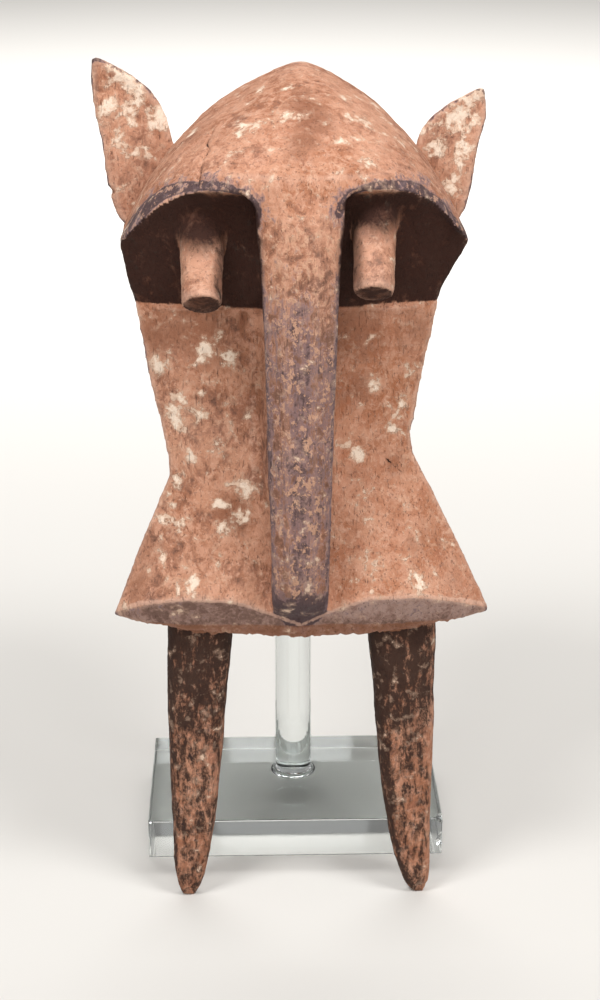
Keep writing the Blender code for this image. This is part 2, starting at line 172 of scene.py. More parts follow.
class WoodSizes(bpy.types.PropertyGroup):
    """Sizes and colours of the carved wood."""

    grid: bpy.props.FloatProperty(
        name="Grid", description="Spacing of the skin that the carving marks are cut in, in millimetres",
        default=1.65, min=1.0, max=6.0)
    hand: bpy.props.FloatProperty(
        name="Unevenness", description="How far the hand-cut faces wander, in millimetres",
        default=0.9, min=0)
    facet: bpy.props.FloatProperty(
        name="Adze facet", description="Width of one cut of the adze, in millimetres", default=15.0, min=2)
    facet_depth: bpy.props.FloatProperty(
        name="Facet depth", description="Depth of one cut of the adze, in millimetres", default=0.45, min=0)
    wood: bpy.props.StringProperty(
        name="Wood", description="Bare aged wood, as sRGB hex", default="A66B4C")
    worn: bpy.props.StringProperty(
        name="Worn wood", description="Dusty, rubbed wood, as sRGB hex", default="CB977B")
    # also colours the painted shade along the web's groove
    smoke: bpy.props.StringProperty(
        name="Smoke", description="Brown smears, as sRGB hex", default="84523A")
    stain: bpy.props.StringProperty(
        name="Stain", description="Dark stain left on edges, as sRGB hex", default="463537")
    clay: bpy.props.StringProperty(
        name="Clay", description="White clay traces, as sRGB hex", default="EDD8C4")


class StandSizes(bpy.types.PropertyGroup):
    """Sizes and colours of the clear stand."""

    fillet: bpy.props.FloatProperty(
        name="Cement fillet", description="Ring of dried cement round the rod's foot", default=0.003,
        unit="LENGTH")
    scratch: bpy.props.FloatProperty(
        name="Scratch spacing", description="Spacing of the scratches, in millimetres", default=4.0)
    tint: bpy.props.StringProperty(
        name="Acrylic", description="Clear acrylic, as sRGB hex", default="F4F8F7")
    sawn: bpy.props.StringProperty(
        name="Sawn edge", description="Frosted sawn edge, as sRGB hex", default="E6ECEA")


class StudioSizes(bpy.types.PropertyGroup):
    """The floor, the lights and the camera's place."""

    floor: bpy.props.StringProperty(
        name="Floor", description="Floor colour, as sRGB hex", default="D6D3CE")
    key: bpy.props.FloatProperty(
        name="Key light", description="Power of each large soft light, in watts", default=14.5)
    fill: bpy.props.FloatProperty(
        name="Fill light", description="Power of the fill light, in watts", default=9.0)
    sky: bpy.props.FloatProperty(
        name="Surround", description="Strength of the even surround", default=0.2)


def linear(text):
    """An sRGB hex colour as the linear colour that a shader takes."""
    out = []
    for i in (0, 2, 4):
        c = int(text[i:i + 2], 16) / 255
        out.append(c / 12.92 if c <= 0.04045 else ((c + 0.055) / 1.055) ** 2.4)
    return (*out, 1.0)


def add_node(tree, kind, links=None, **settings):
    """A node of this kind, with its settings, and its inputs set or linked."""
    made = tree.nodes.new(kind)
    for key, value in settings.items():
        setattr(made, key, value)
    for key, value in (links or {}).items():
        socket = made.inputs[key]
        if isinstance(value, bpy.types.NodeSocket):
            tree.links.new(value, socket)
        else:
            socket.default_value = value
    return made


def new_material(name):
    made = bpy.data.materials.new(name)
    made.use_nodes = True
    return made, made.node_tree, made.node_tree.nodes["Principled BSDF"]


def deselect():
    for obj in bpy.context.view_layer.objects:
        obj.select_set(False)


def activate(obj):
    deselect()
    obj.select_set(True)
    bpy.context.view_layer.objects.active = obj


def apply_modifiers(obj):
    activate(obj)
    for change in list(obj.modifiers):
        bpy.ops.object.modifier_apply(modifier=change.name)


def settle(obj):
    """Put a finished object's place, turn and scale into its mesh."""
    activate(obj)
    bpy.ops.object.transform_apply(location=True, rotation=True, scale=True)


def merged_copy(node, name):
    """A copy of a solid with its loose triangles merged into one skin."""
    source = frame["nodes"][node]
    made = bpy.data.objects.new(name, source.data.copy())
    bpy.context.scene.collection.objects.link(made)
    activate(made)
    bpy.ops.object.mode_set(mode="EDIT")
    bpy.ops.mesh.select_all(action="SELECT")
    bpy.ops.mesh.remove_doubles(threshold=0.00002)
    bpy.ops.object.mode_set(mode="OBJECT")
    made.data.materials.clear()
    return made


def chip(target, place, size, turn):
    """Knock a small rough chip out of an edge, at a place in millimetres."""
    deselect()
    bpy.ops.mesh.primitive_ico_sphere_add(
        subdivisions=2, radius=1, location=Vector(place) * MM, rotation=turn)
    tool = bpy.context.object
    tool.scale = Vector(size) * MM
    for v in tool.data.vertices:
        v.co *= 1 + 0.22 * noise.noise(v.co * 1.7 + Vector(place))
    cut = target.modifiers.new("chip", "BOOLEAN")
    cut.operation = "DIFFERENCE"
    cut.object = tool
    bpy.context.view_layer.update()
    apply_modifiers(target)
    bpy.data.objects.remove(tool)


def thin_hidden(obj, share):
    """Leave fewer faces on the backs and inside the cap, where the carving marks are plainer."""
    mesh = obj.data
    p, n = read_points(mesh), read_normals(mesh)
    x, y, _ = p.T
    between_ears = np.abs(x) < 82
    towards_rod = x * n[:, 0] + (y - 10) * n[:, 1] < 0
    inside = (y > -84) & between_ears & (towards_rod | (n[:, 2] < -0.5))
    hidden = (n[:, 1] > 0.25) | ((y > 8) & between_ears) | inside
    activate(obj)
    bpy.ops.object.mode_set(mode="EDIT")
    bpy.ops.mesh.select_mode(type="VERT")
    bpy.ops.mesh.select_all(action="DESELECT")
    bpy.ops.object.mode_set(mode="OBJECT")
    mesh.vertices.foreach_set("select", hidden)
    bpy.ops.object.mode_set(mode="EDIT")
    bpy.ops.mesh.decimate(ratio=share)
    bpy.ops.object.mode_set(mode="OBJECT")


def read_points(mesh):
    co = np.empty(len(mesh.vertices) * 3)
    mesh.vertices.foreach_get("co", co)
    return co.reshape(-1, 3) / MM


def read_normals(mesh):
    normals = np.empty(len(mesh.vertices) * 3)
    mesh.vertex_normals.foreach_get("vector", normals)
    return normals.reshape(-1, 3)


def read_edges(mesh):
    pairs = np.empty(len(mesh.edges) * 2, np.int32)
    mesh.edges.foreach_get("vertices", pairs)
    return pairs.reshape(-1, 2)


def write_points(mesh, points):
    mesh.vertices.foreach_set("co", (points * MM).ravel())
    mesh.update()


def attribute(mesh, name, values):
    made = mesh.attributes.new(name, "FLOAT", "POINT")
    made.data.foreach_set("value", np.asarray(values, np.float32))


def ramp(value, low, high):
    """0 at low and 1 at high, with soft ends."""
    t = np.clip((value - low) / (high - low), 0, 1)
    return t * t * (3 - 2 * t)


def from_line(points, line):
    """How far each point lies from a line through stops, in as many directions as the stops have."""
    stops = np.array(line, float)
    best = np.full(len(points), 1e9)
    for a, b in zip(stops, stops[1:]):
        run = b - a
        t = np.clip((points - a) @ run / (run @ run), 0, 1)
        best = np.minimum(best, np.linalg.norm(points - a - t[:, None] * run, axis=1))
    return best


def from_either(points, left, right):
    """How far each point lies from the nearer of two lines."""
    return np.minimum(from_line(points, left), from_line(points, right))


def noise_at(points, scale, seed=0.0, detail=2):
    """Soft noise between about -1 and 1 with lumps of the given size in millimetres."""
    shift = Vector((seed, seed * 0.7, seed * 1.3))
    return np.array([noise.fractal(Vector(p) / scale + shift, 0.8, 2.0, detail) for p in points])


def facets_at(points, size, seed):
    """Shallow scallops, one for each cut of the adze: 0 at a cut's middle and 1 on the ridges."""
    out = np.empty(len(points))
    for i, p in enumerate(points):
        q = Vector((p[0] / size, p[1] / size, p[2] / (1.5 * size))) + Vector((seed, 0, 0))
        near, _ = noise.voronoi(q)
        out[i] = near[0] / max(near[1], 1e-6)
    return out


def smoothed(points, edges, rounds):
    """The points drawn towards their neighbours, to find what stands proud."""
    count = np.bincount(edges.ravel(), minlength=len(points))[:, None]
    out = points.copy()
    for _ in range(rounds):
        total = np.zeros_like(out)
        for axis in range(3):
            total[:, axis] = np.bincount(edges[:, 0], out[edges[:, 1], axis], len(points))
            total[:, axis] += np.bincount(edges[:, 1], out[edges[:, 0], axis], len(points))
        out = 0.5 * out + 0.5 * total / np.maximum(count, 1)
    return out


def read_skin(mesh, sizes):
    """The smooth skin before it is cut: its places, its directions, its patterns and what stands proud.

    In this function and the ones below that take what it returns, the two numbers of a ramp are where
    a part's edge starts and where it is full: millimetres for places, shares of a whole for directions.
    """
    p, edges = read_points(mesh), read_edges(mesh)
    at = SimpleNamespace(n=read_normals(mesh))
    at.x, at.y, at.z = x, y, z = p.T

    # The hidden sides have fewer, longer edges, which would overstate what stands proud there
    behind = np.maximum(ramp(at.n[:, 1], 0.05, 0.25), ramp(y, 2, 8) * ramp(88 - np.abs(x), 0, 4))
    at.proud = np.einsum("ij,ij->i", p - smoothed(p, edges, 22), at.n) * (1 - 0.85 * behind)
    at.wide = noise_at(p, 42, 3.1)
    at.fine = noise_at(p, 7, 8.4, 3)
    at.cuts = facets_at(p, sizes.facet, 2.0)

    # The dome runs softly into the top of the trunk between the two rims
    at.rim = from_either(p[:, [0, 2]], RIM_LEFT, RIM_RIGHT)
    blend = ramp(at.rim, 3, 9) * ramp(z, 464, 474) * ramp(-y, 88, 98) * ramp(512 - z, 0, 8)
    at.p = p + (smoothed(p, edges, 70) - p) * blend[:, None]
    at.rough = noise_at(at.p, 3.2, 5.0, 2)
    return at


def find_eyes(p, n):
    """1 on the tube eyes: near an eye's middle line and facing away from it, or near its end."""
    eye = np.zeros(len(p))
    for tip, root in (EYE_LEFT, EYE_RIGHT):
        run = np.subtract(root, tip)
        t = np.clip((p - tip) @ run / (run @ run), 0, 1)
        out = p - tip - t[:, None] * run
        away = np.linalg.norm(out, axis=1)
        facing = np.einsum("ij,ij->i", out, n) / np.maximum(away, 1e-6)
        own = np.maximum(ramp(facing, 0.2, 0.5), ramp(0.25 - t, 0, 0.1))
        eye = np.maximum(eye, ramp(EYE_REACH - away, 0, 1.2) * own)
    return eye


def find_parts(at):
    """How far each point belongs to the trunk, the tusks, the eyes, the ears and the back."""
    x, y, z, n = at.x, at.y, at.z, at.n
    across = np.abs(x - TRUNK_MIDDLE)
    half = np.interp(z, *TRUNK_HALF)
    at.trunk = ramp(half + 1.5 - across, -1, 2) * ramp(-y - np.interp(z, *TRUNK_FACE), -1, 3)
    at.trunk *= ramp(472 - z, 0, 14) * ramp(z, 198, 206)
    at.trunk_tip = at.trunk * ramp(236 - z, 0, 24)
    at.trunk_edge = at.trunk * np.exp(-(((across - half + 1.0) / 2.0) ** 2))
    at.trunk_ridge = at.trunk * ramp(7 - across, 0, 3)
    at.trunk_low = 1 - 0.8 * ramp(z, 390, 468)

    # The tusks, up to where they run into the lip; their tops and the lip's underside above them take the
    # tusks' dark as painted shadow under the lip
    tusk_top = ramp(198 - z, 0, 5) * ramp(n[:, 2], -0.55, -0.3)
    tusk_top *= ramp(23 - np.abs(np.abs(x - 1) - 65), 0, 3)
    lip_under = ramp(203 - z, 0, 6) * ramp(y, -113, -107)
    at.tusk = np.maximum.reduce([ramp(188 - z, -2, 5), tusk_top, lip_under])

    at.back = ramp(y, -60, -30) * (1 - ramp(z, 470, 500))
    at.ear = ramp(np.abs(x), 84, 92) * ramp(y, -14, -8) * ramp(z, 436, 450)
    at.eye = find_eyes(at.p, n) * ramp(-y, 101, 108)
    at.torn = ramp(204 - z, -1, 6) * ramp(z, 184, 189) * ramp(-y, 100, 108) * ramp(-n[:, 2], -0.2, 0.5)


def cut_marks(at, sizes):
    """Move the skin in and out: uneven faces, adze cuts, torn fibres, worn tips and splits."""
    p, z = at.p, at.z
    facet = sizes.facet_depth
    move = sizes.hand * at.wide * (1 - 0.5 * at.trunk)
    move += -facet * (1 - at.cuts**2) * (0.45 + 0.55 * (1 - at.trunk)) + facet * 0.5
    move += 0.2 * at.fine + 0.12 * at.rough

    # The broken, fibrous lower edge of the lip, and the worn tips of the tusks
    fibres = np.array([noise.noise(Vector((q[0] / 2.6, q[1] / 9, 4.0))) for q in p])
    move += at.torn * (1.2 * fibres - 0.5)
    worn_tip = ramp(26 - z, 0, 20) * ramp(z, 0.5, 3)
    move -= worn_tip * (0.35 + 0.5 * np.maximum(at.fine, 0))

    # The split up the dome, and two short ones in the board, none of them straight
    wander = p + np.stack([1.6 * noise_at(p, 9, 1.0, 3), 0 * z, 1.0 * noise_at(p, 6, 2.0, 2)], 1)
    at.crack = np.full(len(p), 1e3)
    for line, width, depth in CRACKS:
        away = from_line(wander, line)
        at.crack = np.minimum(at.crack, away * 1.6 / width)
        move -= depth * np.exp(-((away / width) ** 2))
    at.groove = from_line(wander, WEB_GROOVE)
    move -= 1.0 * np.exp(-((at.groove / 2.2) ** 2))

    # The tips stay on the floor
    at.p = p + at.n * (move * ramp(z, 0.2, 1.5))[:, None]
    at.p[:, 2] = np.maximum(at.p[:, 2], 0)


def spread_spots(at):
    """The clay and the brown smears, each from its list of places, with painted shade along the web's groove.
    """
    x, y, z = at.x, at.y, at.z
    clay = np.zeros(len(x))
    for cx, cy, cz, reach in CLAY:
        away = np.sqrt((x - cx) ** 2 + 0.5 * (y - cy) ** 2 + (z - cz) ** 2)
        on_ear, on_dome = abs(cx) > 80 and cz > 440, cz > 470
        full = 0.65 if on_ear else 0.53 if on_dome else 0.59
        clay = np.maximum(clay, full - 0.36 * away / reach)
    # painted shade along the web's groove
    smear_and_shade = 1.1 * np.exp(-((at.groove / 3.2) ** 2))
    for cx, cy, cz, reach, strength in SMEARS:
        away = ((x - cx) ** 2 + 0.6 * (y - cy) ** 2 + (z - cz) ** 2) / reach**2
        smear_and_shade = np.maximum(smear_and_shade, strength * np.exp(-away))
    return clay, smear_and_shade


def lay_finishes_and_light(at):
    """How strong each finish, painted shade and painted highlight is at each point, by the names in FIELDS.
    """
    x, y, z, n, rim = at.x, at.y, at.z, at.n, at.rim
    flat = at.p[:, [0, 2]]
    hood_front = ramp(-y, 84, 92) * ramp(z, 436, 446)
    hood_front = hood_front * ramp(-n[:, 1] + 0.4 * np.abs(n[:, 0]), -0.1, 0.35) * (1 - at.eye)
    band = ramp(3.0 - rim, 0, 1.8) * hood_front
    haze = ramp(17 - rim, 0, 15) * hood_front * ramp(n[:, 2] + 0.3, 0, 0.3)
    bevel = ramp(-n[:, 2], -0.05, 0.3) * ramp(226 - z, 0, 4) * ramp(z, 186, 192) * ramp(-y, 98, 106)
    edge = ramp(at.proud, 0.7, 1.7) * (1 - at.eye)
    hollow = ramp(-at.proud, 0.25, 1.3)
    front = ramp(-n[:, 1], 0.0, 0.5)
    outside = ramp(n[:, 2] + 0.6 * np.abs(n[:, 0]) + 0.6 * np.abs(n[:, 1]), 0.0, 0.6)
    clay, smear_and_shade = spread_spots(at)

    # Stain stays on the rims, on the trunk and on the edges that hands don't rub
    stain = 0.86 * band + 0.42 * haze + 0.25 * bevel + 0.2 * at.trunk_edge + 0.6 * at.trunk_tip
    stain += 0.5 * at.trunk * at.trunk_low
    stain += 0.12 * at.trunk_ridge
    stain += 0.55 * edge * (1 - 0.7 * at.tusk) * (1 - 0.7 * hood_front) + 0.2 * at.tusk
    stain += 0.3 * at.ear * edge + 0.1 * at.fine

    # The tusks' own dark colour, with painted shade: darker towards the top under the lip and on the sides
    # turned to the left; the right tusk's side turned to the right is painted lighter as painted light
    shaded = np.where(x > 0, ramp(-n[:, 0], 0.1, 0.6), ramp(-n[:, 0], 0.3, 0.9) * 0.6)
    dark = 0.56 + 0.32 * ramp(z, 90, 185) + 0.22 * shaded - 0.2 * ramp(n[:, 0] * (x > 0), 0.3, 0.8)

    # Painted shade with some soot under the hood; painted shadow on the roots, the ends and the inner sides
    # of the eyes; painted shade in the web's groove
    under_hood = ramp(482 - z, 0, 10) * ramp(z, 400.5, 403.5) * ramp(y + 0.45 * (480 - z), -138, -128)
    on_trunk = ramp(-y, 139, 146) * ramp(30 - np.abs(x - TRUNK_MIDDLE), 0, 3)
    under_hood *= (1 - on_trunk) * ramp(-y, 78, 90) * ramp(-n[:, 2], -0.15, 0.0)
    eye_end = at.eye * ramp(-n[:, 2], 0.45, 0.65)
    eye_root = at.eye * ramp(z, np.where(x < 0, 430, 438), np.where(x < 0, 456, 466))
    eye_side = at.eye * ramp(-n[:, 0] * np.sign(x), 0.15, 0.85)
    on_eye = np.maximum.reduce([eye_root * 0.98, eye_end * 0.82, eye_side * 0.6])
    soot_and_shade = under_hood * (1 - at.eye) + on_eye

    # How broken the dark crust is: least on the dome and the right of the board. Across the board it is also
    # lowered, as painted light that makes the whole board paler
    board = ramp(-y, 84, 92) * ramp(404 - z, 0, 4) * ramp(z, 204, 210)
    side_mottle = np.where(x < 0, 0.2, -0.05 + 0.1 * ramp(z, 330, 380))
    mottle = 0.42 + board * (1 - at.trunk) * (side_mottle - 0.12) + 0.2 * at.trunk * at.trunk_low
    mottle += 0.26 * bevel + 0.1 * at.wide + 0.08 * at.eye + 0.08 * at.ear

    # Painted highlight along the lip's crest, and painted light on the lit side strip beside the web
    crest_highlight = ramp(2.2 - from_either(flat, LIP_LEFT, LIP_RIGHT), 0, 1.6) * ramp(-y, 106, 112)
    near_web = np.exp(-(((x + 27) / 4.5) ** 2)) * ramp(z, 280, 292)
    near_web *= ramp(402 - z, 0, 8) * ramp(-y, 96, 100)

    return {
        "stain": np.clip(stain, 0, 1.4),
        "clay": clay * ramp(front + outside, 0.2, 0.6),
        "smear_and_shade": np.clip(smear_and_shade + 0.3 * hollow + 0.35 * at.back + 0.4 * at.trunk_tip, 0, 1.2),
        "proud": np.clip(at.proud * (1 - at.tusk), -2, 2),
        "crack": at.crack,
        "tusk": at.tusk * dark,
        "crest_highlight": crest_highlight + 0.6 * near_web,
        "mottle": mottle,
        # painted highlight, with a purplish bloom, along the trunk's edges and the rim
        "bloom_and_highlight": np.clip(0.75 * at.trunk_edge + 0.6 * ramp(6 - rim, 0, 5) * hood_front, 0, 1),
        "bevel": bevel,
        "torn": at.torn,
        "trunk": np.clip(at.trunk - 0.3 * at.trunk_tip + band + 0.5 * haze, 0, 1),
        # painted shade along the web's groove joins the painted shade under the hood and on the eyes
        "soot_and_shade": np.maximum(soot_and_shade, 0.42 * np.exp(-((at.groove / 2.8) ** 2))),
    }


def carve_relief(obj, sizes):
    """Cut the tool marks, cracks and worn places into the skin, and note where each finish, painted shade and
    painted highlight goes.
    """
    at = read_skin(obj.data, sizes)
    find_parts(at)
    cut_marks(at, sizes)
    write_points(obj.data, at.p)
    finishes_and_light = lay_finishes_and_light(at)
    for name in FIELDS:
        attribute(obj.data, name, finishes_and_light[name])


def wood_material(sizes):
    """Aged hardwood, cut with an adze and never planed, rubbed with stain and dusted with white clay.

    Years of handling leave a broken crust of dust and oil over orange-brown wood, darker where it
    has rubbed off. The pores run up and down the piece, and a purplish black stain stays on edges.
    """
    made, tree, shader = new_material("adzed hardwood, stained, with clay traces")
    place = add_node(tree, "ShaderNodeTexCoord").outputs["Object"]
    values = {}
    for name in FIELDS:
        values[name] = add_node(tree, "ShaderNodeAttribute", attribute_name=name).outputs["Fac"]

    # Patterns: the size of a lump in millimetres, its detail, roughness, stretch and swirl
    for name, size, detail, rough, stretch, swirl in (
        ("broad", 45, 3, 0.55, (1, 1, 1), 0.0),
        ("blotch", 14, 6, 0.66, (1, 1, 0.8), 0.5),
        ("crust", 6.5, 8, 0.7, (1, 1, 0.8), 0.7),
        ("scurf", 3.2, 6, 0.72, (1, 1, 0.8), 0.5),
        ("fleck", 2.6, 4, 0.7, (1, 1, 0.8), 0.0),
        ("speck", 1.6, 3, 0.65, (1, 1, 0.8), 0.0),
        ("flake", 9, 5, 0.55, (1, 1, 1), 0.35),
        ("streak", 4.5, 5, 0.7, (1, 1, 0.3), 0.5),
        ("grain", 1.5, 4, 0.6, (1, 1, 0.055), 0.0),
        ("fibre", 0.7, 2, 0.5, (1, 1, 0.04), 0.0),
        ("pores", 1.1, 1, 0.5, (1, 1, 0.16), 0.0),
    ):
        lay = add_node(tree, "ShaderNodeMapping", {"Vector": place, "Scale": stretch})
        values[name] = add_node(tree, "ShaderNodeTexNoise", {
            "Vector": lay.outputs["Vector"], "Scale": 1000 / size, "Detail": detail, "Roughness": rough,
            "Distortion": swirl}).outputs["Fac"]

    # Broken shards, for clay that has flaked off in angular pieces about 6 and 3 mm wide
    warp = add_node(tree, "ShaderNodeTexNoise", {"Vector": place, "Scale": 1000 / 5, "Detail": 4})
    bent = add_node(tree, "ShaderNodeVectorMath", {
        0: warp.outputs["Color"], 1: (0.0018, 0.0018, 0.0018), 2: place}, operation="MULTIPLY_ADD")
    for name, size in (("shard", 6), ("crumb", 3)):
        values[name] = add_node(tree, "ShaderNodeTexVoronoi", {
            "Vector": bent.outputs["Vector"], "Scale": 1000 / size}).outputs["Color"]

    # Each finish, painted shade or painted highlight is a field on the surface, broken up by the patterns
    # around their middle value
    for name, field, parts in (
        ("mottled", "mottle", (("crust", -1.2), ("scurf", -0.8), ("blotch", -0.9))),
        ("smeared_shade", "smear_and_shade", (("blotch", 1.2), ("scurf", 0.6))),
        ("stained", "stain", (("blotch", 0.9), ("crust", 1.2), ("scurf", 0.8), ("grain", 0.5))),
        ("bloomed_highlight", "bloom_and_highlight", (("blotch", 1.2), ("crust", 1.6), ("scurf", 0.8))),
        ("bare", "trunk", (("fleck", 0.8), ("crust", 1.0), ("scurf", 0.5))),
        ("flaked", "clay", (("shard", 0.28), ("crumb", 0.22), ("flake", 2.3), ("scurf", 0.6))),
        ("dark_tusk", "tusk", (("streak", 1.7), ("scurf", 1.2), ("blotch", 0.6))),
        ("split", "crack", (("grain", 1.0),)),
        ("orange", "torn", (("scurf", 0.8),)),
        ("crest_highlighted", "crest_highlight", (("scurf", 1.2), ("streak", 0.8))),
        ("planed", "bevel", (("crust", 0.8),)),
        ("sooted_shade", "soot_and_shade", (("blotch", 1.3), ("crust", 0.8), ("scurf", 0.4))),
    ):
        total = values[field]
        for pattern, amount in parts:
            total = add_node(tree, "ShaderNodeMath", {0: values[pattern], 1: amount, 2: total},
                             operation="MULTIPLY_ADD").outputs["Value"]
        values[name] = add_node(tree, "ShaderNodeMath", {0: total, 1: 0.5 * sum(a for _, a in parts)},
                                operation="SUBTRACT").outputs["Value"]

    # Layers of colour from the bare wood up: a pattern, where it starts and is full, its cover, its tone
    colour = linear(sizes.wood)
    for name, start, full, cover, tone in (
        ("broad", 0.36, 0.66, 1.0, "BB8367"),
        ("grain", 0.5, 0.74, 0.4, "7D523F"),
        ("blotch", 0.42, 0.6, 0.6, sizes.worn),
        ("blotch", 0.42, 0.32, 0.5, "A4664A"),
        ("crust", 0.48, 0.6, 0.4, "D6A68D"),
        ("scurf", 0.52, 0.66, 0.4, "E0B8A1"),
        ("planed", 0.3, 0.9, 0.75, "9F8A84"),
        ("mottled", 0.42, 0.7, 0.5, "815E50"),
        ("mottled", 0.62, 0.85, 0.6, "5E443A"),
        ("fleck", 0.62, 0.66, 0.5, "59403A"),
        ("proud", 0.15, 1.0, 0.35, "E0B9A4"),
        # smoke-brown smears, with painted shade along the web's groove
        ("smeared_shade", 0.2, 0.85, 0.75, sizes.smoke),
        ("stained", 0.38, 0.56, 0.72, "7E686B"),
        ("stained", 0.54, 0.78, 0.85, sizes.stain),
        ("bare", 1.05, 1.11, 0.8, "C99A7E"),
        # purplish bloom with painted highlight on the trunk's edges and the rim
        ("bloomed_highlight", 0.55, 1.0, 0.5, "8F7A80"),
        # painted highlight on the lip's crest and painted light beside the web
        ("crest_highlighted", 0.4, 0.9, 0.6, "D3A994"),
        ("orange", 0.3, 0.7, 0.6, "8E5838"),
        # the tusks' own dark, with painted shadow under the lip and painted shade on their left-turned sides
        ("dark_tusk", 0.3, 0.8, 0.94, "281914"),
        ("speck", 0.64, 0.7, 0.5, "321D16"),
        ("flaked", 0.1, 0.42, 0.3, "DDB89E"),
        ("flaked", 0.42, 0.44, 0.9, "DDBEA6"),
        ("flaked", 0.58, 0.64, 0.85, sizes.clay),
        ("split", 1.0, 0.4, 1.0, "1B0F0A"),
        ("pores", 0.66, 0.74, 0.4, "3E251B"),
        # soot and painted shade under the hood, painted shadow on the eyes, painted shade in the web's groove
        ("sooted_shade", 0.2, 0.95, 0.97, "280F08"),
    ):
        reach = add_node(tree, "ShaderNodeMapRange", {
            "Value": values[name], "From Min": start, "From Max": full, "To Min": 0, "To Max": cover},
            interpolation_type="SMOOTHSTEP")
        colour = add_node(tree, "ShaderNodeMix", {0: reach.outputs["Result"], 6: colour, 7: linear(tone)},
                          data_type="RGBA").outputs[2]
    tree.links.new(colour, shader.inputs["Base Color"])

    # Dry and matt all over, with a low sheen left where stained edges have been handled
    sheen = add_node(tree, "ShaderNodeMath", {0: values["stained"], 1: values["trunk"]}, operation="MULTIPLY")
    rough = add_node(tree, "ShaderNodeMapRange", {
        "Value": sheen.outputs["Value"], "From Min": 0.0, "From Max": 1.0, "To Min": 0.88, "To Max": 0.52})
    tree.links.new(rough.outputs["Result"], shader.inputs["Roughness"])
    shader.inputs["Specular IOR Level"].default_value = 0.25

    # Heights: each pattern, where it starts and is full, and its share of the bump
    height = values["crust"]
    for name, start, full, share in (
        ("fibre", 0.0, 1.0, 0.15),
        ("grain", 0.0, 1.0, 0.35),
        ("scurf", 0.0, 1.0, 0.75),
        ("pores", 0.62, 0.74, -0.4),
        ("fleck", 0.6, 0.66, -0.2),
        ("flaked", 0.42, 0.47, 0.3),
        ("split", 1.4, 0.2, -1.5),
    ):
        step = add_node(tree, "ShaderNodeMapRange", {
            "Value": values[name], "From Min": start, "From Max": full, "To Min": 0, "To Max": share})
        height = add_node(tree, "ShaderNodeMath", {0: height, 1: step.outputs["Result"]}).outputs["Value"]
    bump = add_node(tree, "ShaderNodeBump", {"Height": height, "Strength": 0.8, "Distance": 0.0014})
    tree.links.new(bump.outputs["Normal"], shader.inputs["Normal"])
    return made


def acrylic_material(name, sizes, frosted):
    """Cast acrylic: clear and polished with fine scratches, or frosted where the saw cut it."""
    made, tree, shader = new_material(name)
    shader.inputs["Base Color"].default_value = linear(sizes.sawn if frosted else sizes.tint)
    shader.inputs["Transmission Weight"].default_value = 1.0
    shader.inputs["IOR"].default_value = 1.49
    place = add_node(tree, "ShaderNodeTexCoord").outputs["Object"]
    if not frosted:
        place = add_node(tree, "ShaderNodeMapping", {
            "Vector": place, "Scale": (0.4, 1.6, 1), "Rotation": (0.3, 0.5, 0.7)}).outputs["Vector"]
    spacing, low, high, depth = (FROST, 0.35, 0.62, 0.6) if frosted else (sizes.scratch, 0.02, 0.12, 0.04)
    lines = add_node(tree, "ShaderNodeTexNoise", {
        "Vector": place, "Scale": 1000 / spacing, "Detail": 5, "Roughness": 0.7})
    spread = add_node(tree, "ShaderNodeMapRange", {
        "Value": lines.outputs["Fac"], "From Min": 0.5, "From Max": 0.72, "To Min": low, "To Max": high})
    tree.links.new(spread.outputs["Result"], shader.inputs["Roughness"])
    bump = add_node(tree, "ShaderNodeBump", {
        "Height": lines.outputs["Fac"], "Strength": depth, "Distance": 0.0004})
    tree.links.new(bump.outputs["Normal"], shader.inputs["Normal"])
    return made


class MASK_OT_carve(bpy.types.Operator):
    """Carve and colour the mask: one skin over the whole solid, chipped, adzed, cracked and stained"""

    bl_idname = "mask.carve"
    bl_label = "Carve the mask"

    def execute(self, context):
        sizes = context.scene.mask_wood
        carved = merged_copy("mask", "carved_mask")
        for place, size, turn in CHIPS:
            chip(carved, place, size, turn)
        skin = carved.modifiers.new("skin", "REMESH")
        skin.mode = "VOXEL"
        skin.voxel_size = sizes.grid * MM
        skin.use_smooth_shade = True
        soft = carved.modifiers.new("soft", "SMOOTH")
        soft.factor = 0.5
        soft.iterations = 3
        apply_modifiers(carved)
        thin_hidden(carved, HIDDEN_SHARE)
        carve_relief(carved, sizes)
        carved.data.materials.append(wood_material(sizes))
        carved.data.shade_smooth()
        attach(carved, "root")
        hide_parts("mask")
        print("carved mask triangles", sum(len(f.vertices) - 2 for f in carved.data.polygons))
        return {"FINISHED"}


